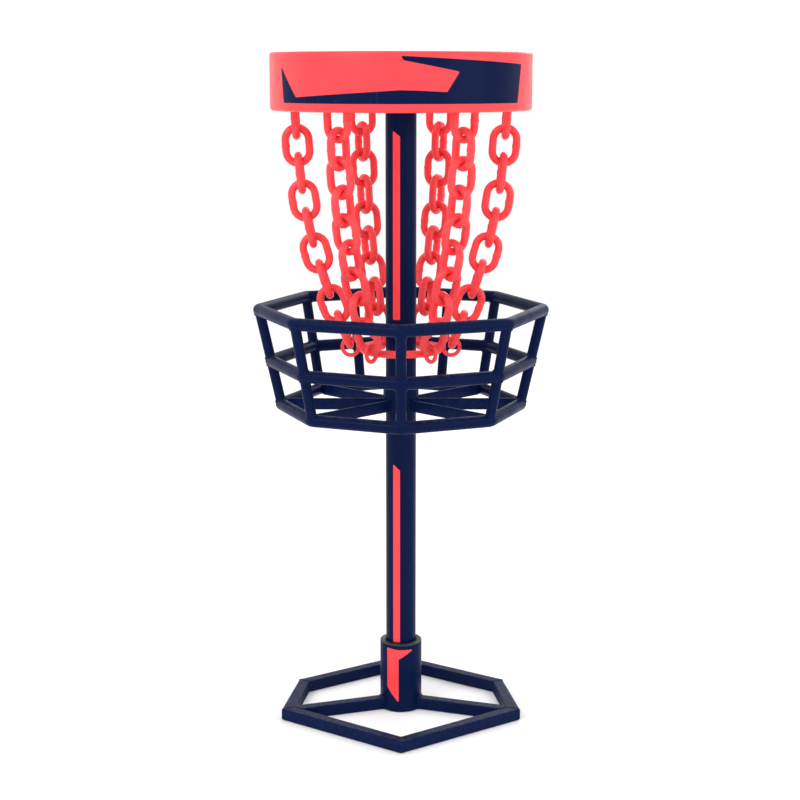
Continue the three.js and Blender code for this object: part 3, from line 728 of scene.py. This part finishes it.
def band():
    """Sheet steel rolled over a rod along both edges, lapped and riveted at the back."""
    centre, bore = BAND_FACE - HEM_R, HEM_R - SHEET_T
    low, high = BAND_LOW + HEM_R, BAND_HIGH - HEM_R
    outside = arc(centre, low, HEM_R, 200, 360, 12) + arc(centre, high, HEM_R, 0, 160, 12)
    inside = arc(centre, high, bore, 160, 0, 12) + arc(centre, low, bore, 360, 200, 12)
    bm = bmesh.new()
    lathe(bm, outside + inside, 180)
    settle(new_object("band_sheet", bm, 50), coral, "mast", "coral_coat", "band")
    for name, z in (("band_rod_top", high), ("band_rod_bottom", low)):
        bm = bmesh.new()
        lathe(bm, [(centre + x, z + y) for x, y in circle(ROD_R, 16)], 144)
        settle(new_object(f"{name}_round", bm, 80), coral, "mast", "coral_coat", name)


def band_lap():
    """The lapped strip at the back with its two rows of rivets, on the inside of the band."""
    inner = BAND_FACE - SHEET_T
    low, high = BAND_LOW + 2 * HEM_R + 2 * MM, BAND_HIGH - 2 * HEM_R - 2 * MM
    half_width, row, rivets = 5.8, 3.8, 5
    corners = [(180 + side * half_width, z) for side, z in ((-1, low), (1, low), (1, high), (-1, high))]
    dome = millimetres((0, 0), (2.6, 0), (2.4, 0.8), (1.5, 1.4), (0.5, 1.6), (0, 1.7))
    bm = bmesh.new()
    film(bm, corners, inner - 1.4 * MM, 1.3 * MM, step=4 * MM)
    for degrees in (180 - row, 180 + row):
        out = outward(degrees)
        for i in range(rivets):
            z = low + (high - low) * (i + 0.5) / rivets
            turned_solid(bm, dome, 20, -out, out * (inner - 1.3 * MM) + UP * z)
    settle(new_object("band_lap_rivets", bm, 50), coral, "mast", "coral_coat")


# Corners of the navy painted shade on the band: degrees from its middle, and mm above the band's lower
# edge.
BAND_SHADE_CORNERS = [
    (0, 106), (61.8, 91), (58.7, 17), (-59.4, 17), (-61.5, 88), (-49.9, 28), (-0.7, 42.6), (6.3, 42),
    (19.2, 39), (24.7, 77), (0.9, 98),
]


# Painted shade: a navy film laid on the coral band, front and back, where only shade falls.
def band_painted_shades():
    for name, middle in (("band_painted_shade_front", 0), ("band_painted_shade_rear", 180)):
        bm = bmesh.new()
        outline = [(middle + d, BAND_LOW + h * MM) for d, h in BAND_SHADE_CORNERS]
        film(bm, outline, BAND_FACE + 0.05 * MM, 0.38 * MM)
        settle(new_object(name, bm, 60), navy_painted_shade_film, "mast", "navy_coat")


def top_hub():
    """The hub that clamps the arms to the pole."""
    bm = bmesh.new()
    lathe(bm, ring_outline(HUB_R, BORE_R, ARM_LOW, ARM_HIGH, 2 * MM), 72)
    settle(new_object("top_hub_turned", bm, 50), coral, "mast", "coral_coat", "top_hub")


def arm(strand):
    """A flat bar on edge, welded to the hub and to the band's lower rod, drilled for its chain."""
    degrees = strand_azimuth(strand)
    out, low, high = outward(degrees), ARM_LOW, ARM_HIGH
    tip = BAND_FACE - 2 * HEM_R + 0.6 * MM
    hole_z = JOINTS["right_swing"]["pos_m"][2] - WIRE_R - SEAT_PLAY + ARM_HOLE_R
    root = HUB_R - 1 * MM
    corners = [(root, low), (tip, low), (tip, high - 9 * MM), (tip - 24 * MM, high), (root, high)]
    hole = circle(ARM_HOLE_R, 40, (CHAIN_R, hole_z))
    bm = bmesh.new()
    plate(bm, rounded(corners, 4 * MM, 4), [hole], CENTRE, out, UP, PLATE_T, 0.9 * MM)
    for side in (1, -1):
        across = sideways(degrees) * side
        seam = [polar(HUB_R, degrees, low + t * (high - low) / 12) for t in range(1, 12)]
        bead(bm, [p + across * 3.4 * MM for p in seam], 2.4 * MM, closed=False)
        tack = [polar(tip - 1 * MM, degrees, low + 2 * MM + t * 2 * MM) for t in range(5)]
        bead(bm, [p + across * 2.6 * MM for p in tack], 2.2 * MM, closed=False)
    settle(new_object(f"arm_{strand}_bar", bm, 55, True), coral, "mast", "coral_coat", f"arm_{strand}")


def hexagon(flats):
    return circle(flats / 2 / math.cos(math.pi / 6), 6)


def clamp_screw(node, z, seat, name):
    """A hexagon-headed screw at the back, with a washer face and a chamfered head."""
    flats, head_t = 13 * MM, 5.4 * MM
    start = Vector((0, seat + 0.5 * MM, z))
    washer = millimetres((0, 0), (7.3, 0), (7.4, 0.4), (7.3, 0.9), (0, 0.9))
    shank = millimetres((0, 0), (3.8, 0), (3.8, 6), (0, 6))
    bm = bmesh.new()
    prism(bm, rounded(hexagon(flats), 0.8 * MM, 2), start, start + BACK * head_t, RIGHT, UP, 0.9 * MM)
    turned_solid(bm, washer, 40, BACK, Vector((0, seat + 0.1 * MM, z)))
    turned_solid(bm, shank, 24, BACK, Vector((0, POLE_R + 0.5 * MM, z)))
    settle(new_object(name, bm, 45, True), steel, "mast", "zinc_steel", node)


# ---------- pole ----------


def pole():
    """The two lengths of pole tube and the short tube inside that joins them."""
    for node in ("pole_lower", "pole_upper"):
        low, high = span(node)
        bm = bmesh.new()
        lathe(bm, ring_outline(POLE_R, POLE_R - POLE_WALL, low, high, 0.8 * MM), 96)
        settle(new_object(f"{node}_tube", bm, 50), navy, "mast", "navy_coat", node)
    low, high = span("pole_joiner")
    outer = size("pole_joiner", 0) / 2
    bm = bmesh.new()
    lathe(bm, ring_outline(outer, outer - JOINER_WALL, low, high, 1.3 * MM), 72)
    settle(new_object("pole_joiner_tube", bm, 50), steel, "mast", "zinc_steel", "pole_joiner")


def pole_cap():
    """A nylon end cap: a shallow dome with a rim groove, on ribs that grip the tube's bore."""
    low, high = span("pole_cap")
    cap_t = 4 * MM
    seat = high - cap_t
    rim = millimetres((0, 0), (0, 1.2), (0.8, 2.2), (3.0, 2.7), (3.8, 2.3), (4.8, 2.9))
    dome = [(0, seat)] + [(POLE_R - x, seat + z) for x, z in rim]
    dome += [(POLE_R * 0.6, seat + 3.7 * MM), (POLE_R * 0.2, seat + cap_t), (0, high)]
    bm = bmesh.new()
    turned_solid(bm, dome, 72)
    bore = POLE_R - POLE_WALL - FIT
    lathe(bm, ring_outline(bore - 0.8 * MM, bore - 3 * MM, low, seat + 0.5 * MM, 0.8 * MM), 72)
    for i in range(3):
        z = low + (4 + 5 * i) * MM
        lathe(bm, [(bore - 0.9 * MM + x, z + y) for x, y in circle(0.9 * MM, 8)], 72)
    settle(new_object("pole_cap_domed", bm, 50), plastic, "mast", "black_nylon", "pole_cap")


def pole_painted_highlights():
    """Painted highlights: coral films left of the pole's front, each with a slanted top."""
    left, right = -31, -3.5
    heights = {"pole_painted_highlight_upper": (849, 1223, 1235), "pole_painted_highlight_lower": (153, 530, 544)}
    for name, (low, high, peak) in heights.items():
        outline = [(left, low), (right, low), (right, high), (left, peak)]
        bm = bmesh.new()
        film(bm, [(d, z * MM) for d, z in outline], POLE_R + 0.02 * MM, 0.16 * MM)
        settle(new_object(name, bm, 60), coral_painted_highlight_film, "mast", "coral_coat")


# ---------- basket ----------


BEND_R = 18 * MM  # centreline of the hoops' bends


def hoop_path(place):
    """The centreline of a hoop bent from tube, with a corner at the front and every 45 degrees."""
    radius, z = place
    corners = [polar(radius, 45 * i).xy for i in range(8)]
    return [Vector((p.x, p.y, z)) for p in rounded(corners, BEND_R, 6)]


HOOPS = {"basket_rim": RIM, "basket_mid_hoop": MID, "basket_bottom_hoop": BOTTOM}


def hoops():
    for node, place in HOOPS.items():
        bm = bmesh.new()
        tube(bm, hoop_path(place), TUBE_R - TUBE_SKIN, closed=True, sides=32)
        settle(new_object(f"{node}_bent", bm, 80), navy, "mast", "navy_coat", node)


STRUTS = {
    "front": 0, "front_right": 45, "right": 90, "rear_right": 135, "rear": 180, "rear_left": 225,
    "left": 270, "front_left": 315, "extra_right": 157.5, "extra_left": 202.5,
}


def strut_line(degrees):
    """A strut's ends on the centrelines of the bottom hoop and the rim."""
    reach = 1 if degrees % 45 == 0 else OCT
    sink = (1 / OCT - 1) * BEND_R if reach == 1 else 0
    return [polar(radius * reach - sink, degrees, z) for radius, z in (BOTTOM, RIM)]


def line_distance(point, a, b):
    """From a point to the nearest place on the line from a to b."""
    foot, share = geometry.intersect_point_line(point, a, b)
    if 0 <= share <= 1:
        return (point - foot).length
    return min((point - a).length, (point - b).length)


def path_distance(point, pairs):
    return min(line_distance(point, a, b) for a, b in pairs)


def saddle(line, path, side):
    """The closed curve where a strut's surface meets a hoop's, from above (side 1) or below (-1)."""
    low, high = line
    axis = (high - low).normalized()
    centre = low.lerp(high, (path[0].z - low.z) / (high.z - low.z))
    pairs = [(path[i - 1], path[i]) for i in range(len(path))]
    near = [pair for pair in pairs if path_distance(centre, [pair]) < 45 * MM]
    u = axis.orthogonal().normalized()
    v = axis.cross(u)
    curve = []
    for i in range(24):
        turn = TAU * i / 24
        skin_point = centre + (u * math.cos(turn) + v * math.sin(turn)) * STRUT_R
        inside, outside = 0.0, 30 * MM
        for _ in range(14):
            middle = (inside + outside) / 2
            if path_distance(skin_point + axis * side * middle, near) < TUBE_R:
                inside = middle
            else:
                outside = middle
        curve.append(skin_point + axis * side * outside)
    return curve


def struts():
    for name, degrees in STRUTS.items():
        low, high = strut_line(degrees)
        bm = bmesh.new()
        tube(bm, [low.lerp(high, t / 12) for t in range(13)], STRUT_R - TUBE_SKIN, sides=28)
        settle(new_object(f"strut_{name}_tube", bm, 60), navy, "mast", "navy_coat", f"strut_{name}")


def strut_welds():
    sides = {"basket_rim": (-1,), "basket_mid_hoop": (-1, 1), "basket_bottom_hoop": (1,)}
    for node, place in HOOPS.items():
        path = hoop_path(place)
        bm = bmesh.new()
        for degrees in STRUTS.values():
            for side in sides[node]:
                bead(bm, saddle(strut_line(degrees), path, side), 2.1 * MM)
        settle(new_object(f"{node}_welds", bm, 80), navy, "mast", "navy_coat")


def basket_floor():
    """Flat bars on edge from a clamping collar to the bottom hoop."""
    low, high = span("basket_floor")
    reach = BOTTOM[0] - TUBE_R
    bar_low, bar_high = BOTTOM[1] - TUBE_R + 0.6 * MM, BOTTOM[1] + TUBE_R - 0.6 * MM
    root = COLLAR_R - 3 * MM
    bm = bmesh.new()
    lathe(bm, ring_outline(COLLAR_R, BORE_R, low, high, 1.6 * MM), 72)
    for i in range(8):
        degrees = 45 * i
        middle = polar((reach + root) / 2, degrees, (bar_low + bar_high) / 2)
        slab(bm, middle, outward(degrees), UP, reach - root, bar_high - bar_low, BAR_T, 1.3 * MM)
        for side in (1, -1):
            shift = sideways(degrees) * side * 3.2 * MM
            for radius, width in ((COLLAR_R, 2.3 * MM), (reach + 0.6 * MM, 2.0 * MM)):
                heights = [bar_low + t * (bar_high - bar_low) / 8 for t in range(1, 8)]
                seam = [polar(radius, degrees, z) + shift for z in heights]
                bead(bm, seam, width, closed=False)
    settle(new_object("basket_floor_bars", bm, 55, True), navy, "mast", "navy_coat", "basket_floor")


# ---------- foot ----------


def foot_corners():
    """The six corners of the foot's outside, in order, from the outline of its CAD solid."""
    solid = frame["nodes"]["base_ring"].data
    points = sorted({(round(v.co.x, 5), round(v.co.y, 5)) for v in solid.vertices})

    def half_hull(run):
        kept = []
        for p in run:
            while len(kept) > 1 and turn_of(kept[-2], kept[-1], p) < 1e-5:
                kept.pop()
            kept.append(p)
        return kept[:-1]

    def turn_of(a, b, c):
        return (b[0] - a[0]) * (c[1] - a[1]) - (b[1] - a[1]) * (c[0] - a[0])

    return [Vector(p) for p in half_hull(points) + half_hull(points[::-1])]


FOOT = foot_corners()


def inset(corners, distance):
    """The same outline drawn inside by that distance."""
    moved = []
    for i, here in enumerate(corners):
        before = (here - corners[i - 1]).normalized()
        after = (corners[(i + 1) % len(corners)] - here).normalized()
        bisector = (after - before).normalized()
        moved.append(here + bisector * (distance / abs(bisector.cross(before))))
    return moved


def square_section(half, corner=3.2 * MM):
    return rounded([(-half, -half), (half, -half), (half, half), (-half, half)], corner, 4)


def over_the_top(half, low=3 * MM):
    """The run of a square section's outline that shows: up one side, over the top, down the other."""
    run = [Vector((half, -half + low))] + [p for p in square_section(half) if p.y > 0]
    run.append(Vector((-half, -half + low)))
    return [p.xz for p in spaced([Vector((p.x, 0, p.y)) for p in run], 1.5 * MM, closed=False)]


def foot_ring():
    """Six lengths of square tube, mitred and welded."""
    section = square_section(TUBE_R - 0.03 * MM)
    middle = inset(FOOT, TUBE_R)
    bm = bmesh.new()
    loops = []
    seams = []
    for i, here in enumerate(middle):
        before = (here - middle[i - 1]).normalized()
        after = (middle[(i + 1) % len(middle)] - here).normalized()
        bisector = (before - after).normalized()
        stretch = 1 / abs(bisector.cross(before))
        out = Vector((bisector.x, bisector.y, 0)) * stretch
        centre = Vector((here.x, here.y, TUBE_R))
        seams.append([centre + out * p.x + UP * p.y for p in over_the_top(TUBE_R)])
        loops.append([bm.verts.new(centre + out * p.x + UP * p.y) for p in section])
    skin(bm, loops, closed_along=True)
    settle(new_object("foot_ring_tube", bm, 50, True), navy, "base", "navy_coat", "base_ring")
    bm = bmesh.new()
    for seam in seams:
        bead(bm, seam, 0.8 * MM, closed=False)
    settle(new_object("foot_ring_welds", bm, 80), navy, "base", "navy_coat")


SPOKES = ("base_spoke_left", "base_spoke_right", "base_spoke_rear")


def spoke_azimuth(node):
    if node == "base_spoke_rear":
        return 180
    side = 1 if node.endswith("right") else -1
    corner = max(FOOT, key=lambda c: side * c.x)
    return math.degrees(math.atan2(corner.x, -corner.y))


def spokes():
    """Square tubes from the sleeve to the foot's corners, welded at both ends."""
    half = TUBE_R - 0.25 * MM
    section = square_section(half)
    inner_loop = inset(FOOT, TUBE_OD)
    for node in SPOKES:
        degrees = spoke_azimuth(node)
        out, side = outward(degrees), sideways(degrees)
        corner = max(FOOT, key=lambda c: c.normalized().dot(out.xy))
        corner_r = inset(FOOT, TUBE_R)[FOOT.index(corner)].length
        bm = bmesh.new()
        stations = [SLEEVE_R - 8 * MM, SLEEVE_R, corner_r * 0.5, corner_r * 0.75, corner_r - 2 * MM]
        square = [side * p.x + UP * (TUBE_R + p.y) for p in section]
        skin(bm, [[bm.verts.new(out * r + p) for p in square] for r in stations], closed_along=False)
        settle(new_object(f"{node}_tube", bm, 50, True), navy, "base", "navy_coat", node)
        bm = bmesh.new()
        seam = [out * math.sqrt(SLEEVE_R ** 2 - p.x ** 2) + side * p.x + UP * (TUBE_R + p.y)
                for p in over_the_top(half)]
        bead(bm, seam, 2.6 * MM, closed=False)
        apex = inner_loop[FOOT.index(corner)].length
        for across in (-1, 1):
            edge_point = out * wall_reach(inner_loop, degrees, across * half) + side * (across * half)
            top_run = [out * apex + UP * 2 * half, edge_point + UP * (2 * half + 0.2 * MM)]
            side_run = [edge_point + UP * 3 * MM, edge_point + UP * (2 * half - 2 * MM)]
            bead(bm, top_run, 1.5 * MM, closed=False)
            bead(bm, side_run, 2.2 * MM, closed=False)
        settle(new_object(f"{node}_welds", bm, 80), navy, "base", "navy_coat")


def wall_reach(outline, degrees, across):
    """How far out, along a spoke, the foot's inner wall lies at that distance to the side."""
    out, side = outward(degrees).xy, sideways(degrees).xy
    start = side * across
    best = None
    for i, here in enumerate(outline):
        hit = geometry.intersect_line_line_2d(start, start + out, outline[i - 1], here)
        if hit and (hit - start).dot(out) > 0:
            first, last = outline[i - 1], here
            share = (hit - first).dot(last - first) / (last - first).length_squared
            if -0.001 <= share <= 1.001:
                best = (hit - start).dot(out)
    return best


DRAIN_R = 7 * MM


def sleeve():
    """The foot's sleeve, with a closed foot and a rounded upper edge, and its nylon flange bush."""
    low, high = span("base_sleeve")
    edge = 1.3 * MM
    bore = SLEEVE_R - SLEEVE_WALL
    floor = low + 5 * MM
    outline = arc(SLEEVE_R - edge, low + edge, edge, -90, 0, 4)
    outline += arc(SLEEVE_R - edge, high - edge, edge, 0, 90, 4)
    outline += arc(bore + edge, high - edge, edge, 90, 180, 4)
    outline += [(bore, floor), (DRAIN_R, floor), (DRAIN_R, low)]
    bm = bmesh.new()
    lathe(bm, outline, 120)
    settle(new_object("foot_sleeve", bm, 50), navy, "base", "navy_coat", "base_sleeve")
    low, high = span("sleeve_bush_top")
    fit, plug = POLE_R + FIT, bore - FIT
    flange = high - 3.4 * MM
    outline = [(fit, low), (plug - 0.5 * MM, low), (plug, low + 2 * MM), (plug, flange)]
    outline += arc(SLEEVE_R - 0.6 * MM, flange + 0.6 * MM, 0.6 * MM, -90, 0, 3)
    outline += arc(SLEEVE_R - 1.5 * MM, high - 1.5 * MM, 1.5 * MM, 0, 90, 4)
    outline += [(fit + 1.2 * MM, high), (fit, high - 1.2 * MM)]
    bm = bmesh.new()
    lathe(bm, outline, 120)
    settle(new_object("sleeve_bush_flanged", bm, 50), plastic, "base", "black_nylon", "sleeve_bush_top")


# Corners of the coral painted highlight on the sleeve: degrees from the front, and height in mm.
SLEEVE_HIGHLIGHT_CORNERS = [(-41, 143), (-8, 140), (36.6, 140), (-6.3, 118.5), (-6.3, 21.7), (-41, 55)]


# Painted highlight: a coral film on the navy sleeve where light falls on it.
def sleeve_painted_highlight():
    bm = bmesh.new()
    film(bm, [(d, z * MM) for d, z in SLEEVE_HIGHLIGHT_CORNERS], SLEEVE_R + 0.02 * MM, 0.2 * MM)
    settle(new_object("sleeve_painted_highlight", bm, 60), coral_painted_highlight_film, "base", "coral_coat")


def turn_bush():
    """The nylon cup that the pole stands in."""
    low, high = span("turn_bush")
    outer = size("turn_bush", 0) / 2
    fit = POLE_R + FIT
    floor = low + 8 * MM
    edge = 1 * MM
    outline = [(DRAIN_R, low), (outer - edge, low), (outer, low + edge), (outer, high - edge)]
    outline += [(outer - edge, high), (fit + edge, high), (fit, high - edge), (fit, floor)]
    outline.append((DRAIN_R, floor))
    bm = bmesh.new()
    lathe(bm, outline, 72)
    settle(new_object("turn_bush_cup", bm, 45), plastic, "turn_bush", "black_nylon", "turn_bush")


def lock_nut():
    """The nut welded to the sleeve's back."""
    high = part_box("lock_nut")[1]
    start = Vector((0, SLEEVE_R - 3 * MM, SCREW_Z))
    end = Vector((0, high.y, SCREW_Z))
    bm = bmesh.new()
    prism(bm, rounded(hexagon(22 * MM), 1 * MM, 2), start, end, RIGHT, UP, 1.2 * MM)
    around = circle(12.2 * MM, 40)
    seam = [Vector((x, math.sqrt(SLEEVE_R ** 2 - x ** 2), SCREW_Z + z)) for x, z in around]
    bead(bm, seam, 2.2 * MM)
    settle(new_object("lock_nut_welded", bm, 45, True), navy, "base", "navy_coat", "lock_nut")


def lock_pad():
    """The nylon disc that the screw presses on the pole."""
    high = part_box("lock_pad")[1]
    thickness = 3.2
    pad = millimetres((0, 0), (8.2, 0), (9, 0.8), (9, 2.4), (8.2, thickness), (0, thickness))
    bm = bmesh.new()
    turned_solid(bm, pad, 40, BACK, Vector((0, high.y - thickness * MM, SCREW_Z)))
    settle(new_object("lock_pad_disc", bm, 45), plastic, "lock_pad", "black_nylon", "lock_pad")


def threaded_shank(length, bare):
    """A lead-in, thread ridges, and a plain length of shank at the far end."""
    pitch, crest, root = 1.75 * MM, 5.95 * MM, 5.1 * MM
    shank = millimetres((0, 0), (4.4, 0), (5.2, 1))
    z = 1.5 * MM
    while z < length - bare:
        shank += [(crest, z + 0.25 * pitch), (crest, z + 0.4 * pitch)]
        shank += [(root, z + 0.8 * pitch), (root, z + pitch)]
        z += pitch
    plain = 5.6 * MM
    return shank + [(plain, z + 0.6 * MM), (plain, length), (0, length)]


def lock_screw():
    """The screw at the sleeve's back: a threaded shank, a boss and a round bar through it as a handle."""
    low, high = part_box("lock_screw")
    boss_length = 16
    bar_y = high.y - boss_length * MM / 2
    boss = millimetres((0, 0), (7.4, 0), (8.9, 1.4), (9, 3), (9, 13), (8.4, 14.8), (6.5, 15.7))
    boss.append((0, boss_length * MM))
    reach = high.x
    tip = millimetres((0, 0), (2.4, 0.2), (4.0, 1.4), (4.4, 3))
    handle = [(r, x - reach) for r, x in tip]
    handle += [(4.4 * MM, -reach * 0.4), (4.4 * MM, reach * 0.4)]
    handle += [(r, reach - x) for r, x in reversed(tip)]
    bm = bmesh.new()
    turned_solid(bm, threaded_shank(bar_y - low.y, 12 * MM), 40, BACK, Vector((0, low.y, SCREW_Z)))
    turned_solid(bm, boss, 48, BACK, Vector((0, high.y - boss_length * MM, SCREW_Z)))
    turned_solid(bm, handle, 32, RIGHT, Vector((0, bar_y, SCREW_Z)))
    piece = new_object("lock_screw_t_handle", bm, 45, True)
    settle(piece, steel, "lock_screw", "zinc_steel", "lock_screw")


# ---------- the whole object ----------

chains()
chain_ring()
band()
band_lap()
band_painted_shades()
top_hub()
for each_strand in STRANDS:
    arm(each_strand)
clamp_screw("hub_screw", (ARM_LOW + ARM_HIGH) / 2, HUB_R, "hub_screw_hex")
pole()
pole_cap()
pole_painted_highlights()
hoops()
struts()
strut_welds()
basket_floor()
clamp_screw("floor_screw", span("basket_floor")[1] - 10 * MM, COLLAR_R, "floor_screw_hex")
foot_ring()
spokes()
sleeve()
sleeve_painted_highlight()
turn_bush()
lock_nut()
lock_pad()
lock_screw()

# ---------- camera, light, floor ----------


def camera():
    """In front of the basket at the height of its band, tilted down by the pitch in degrees."""
    focal_length, image_width = 1705, 800  # in pixels
    distance, eye, pitch = 3.514, 1.353, 10.92
    data = bpy.data.cameras.new("camera")
    data.sensor_width = 36
    data.lens = data.sensor_width * focal_length / image_width
    data.clip_end = 100
    view = bpy.data.objects.new("camera", data)
    view.location = (-0.002, -distance, eye)
    view.rotation_euler = (math.radians(90 - pitch), 0, 0)
    bpy.context.scene.collection.objects.link(view)
    bpy.context.scene.camera = view


def area_light(name, place, target, width, watts):
    data = bpy.data.lights.new(name, "AREA")
    data.shape = "SQUARE"
    data.size = width
    data.energy = watts
    lamp = bpy.data.objects.new(name, data)
    lamp.location = place
    lamp.rotation_euler = (Vector(target) - Vector(place)).to_track_quat("-Z", "Y").to_euler()
    bpy.context.scene.collection.objects.link(lamp)


def studio():
    """A pale floor, a white surround and three soft lights."""
    bm = bmesh.new()
    bmesh.ops.create_circle(bm, cap_ends=True, segments=96, radius=60)
    floor = new_object("floor", bm)
    floor.location.z = -0.0005
    floor.data.materials.append(pale_floor("pale_floor"))
    area_light("key", (-2.8, -3.2, 3.8), (0, 0, 0.8), 2.2, 70)
    area_light("fill", (3.4, -2.2, 2.2), (0, 0, 0.7), 2.6, 26)
    area_light("back", (1.4, 3.6, 3.2), (0, 0, 0.9), 2.4, 40)
    world = bpy.data.worlds.new("studio")
    world.use_nodes = True
    background = world.node_tree.nodes["Background"]
    background.inputs["Color"].default_value = (1, 1, 1, 1)
    background.inputs["Strength"].default_value = 1.03
    bpy.context.scene.world = world
    bpy.context.scene.view_settings.view_transform = "Standard"


camera()
studio()
